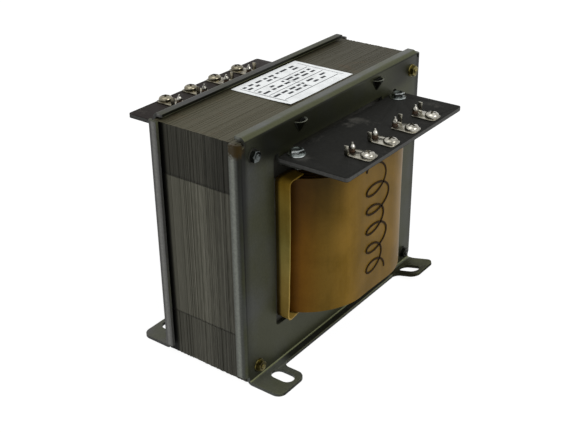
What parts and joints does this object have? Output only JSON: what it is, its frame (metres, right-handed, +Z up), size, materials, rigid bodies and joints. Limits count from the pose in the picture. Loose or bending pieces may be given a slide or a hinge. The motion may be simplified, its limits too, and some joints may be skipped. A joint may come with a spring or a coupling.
{
  "type": "open-frame control transformer",
  "caption": "Open-frame transformer: laminated E-I core clamped by bent steel end frames with slotted feet, one paper-wrapped coil, and a screw terminal board at each end.",
  "frame": {"origin": "middle of the footprint, on the mounting face under the feet", "axes": "+X through the stack towards the front terminal board, +Y along the laminations, +Z up"},
  "size_m": [0.141, 0.1678, 0.1391],
  "materials": {
    "core_steel": "varnished laminated electrical steel, dark and streaked",
    "frame_steel": "dark oxide finish on pressed sheet steel, worn at the edges",
    "coil_board": "pressed board tube, varnished",
    "magnet_wire": "enamelled copper wire in varnished paper layers",
    "kraft_wrap": "varnished kraft paper, satin",
    "liner_paper": "varnished fish paper",
    "phenolic_board": "black laminated phenolic sheet, satin",
    "tinned_plate": "tin plated stamped brass, semi-bright",
    "nickel_screw": "nickel plated steel",
    "zinc_screw": "bright zinc plated steel",
    "yellow_zinc": "yellow zinc plated steel, tarnished",
    "lead_sleeve": "varnished sleeving with a solder cone",
    "label_paper": "white self-adhesive paper"
  },
  "bodies": {
    "root": {"upright_e_laminations": "core_steel", "inverted_e_laminations": "core_steel", "upper_i_laminations": "core_steel", "lower_i_laminations": "core_steel", "coil_tube": "coil_board", "coil_winding": "magnet_wire", "coil_wrap": "kraft_wrap", "bolt_washers": "yellow_zinc", "label": "label_paper", "left_window_liner": "liner_paper", "right_window_liner": "liner_paper", "front_end_frame": "frame_steel", "front_terminal_board": "phenolic_board", "front_leads": "lead_sleeve", "front_terminal_1": "tinned_plate", "front_terminal_screw_1": "nickel_screw", "front_terminal_2": "tinned_plate", "front_terminal_screw_2": "nickel_screw", "front_terminal_3": "tinned_plate", "front_terminal_screw_3": "nickel_screw", "front_terminal_4": "tinned_plate", "front_terminal_screw_4": "nickel_screw", "front_board_screw_left": "zinc_screw", "front_board_screw_right": "zinc_screw", "rear_end_frame": "frame_steel", "rear_terminal_board": "phenolic_board", "rear_leads": "lead_sleeve", "rear_terminal_1": "tinned_plate", "rear_terminal_screw_1": "nickel_screw", "rear_terminal_2": "tinned_plate", "rear_terminal_screw_2": "nickel_screw", "rear_terminal_3": "tinned_plate", "rear_terminal_screw_3": "nickel_screw", "rear_terminal_4": "tinned_plate", "rear_terminal_screw_4": "nickel_screw", "rear_board_screw_left": "zinc_screw", "rear_board_screw_right": "zinc_screw", "lower_left_core_bolt": "yellow_zinc", "lower_left_core_nut": "yellow_zinc", "lower_right_core_bolt": "yellow_zinc", "lower_right_core_nut": "yellow_zinc", "upper_left_core_bolt": "yellow_zinc", "upper_left_core_nut": "yellow_zinc", "upper_right_core_bolt": "yellow_zinc", "upper_right_core_nut": "yellow_zinc"}
  },
  "joints": []
}
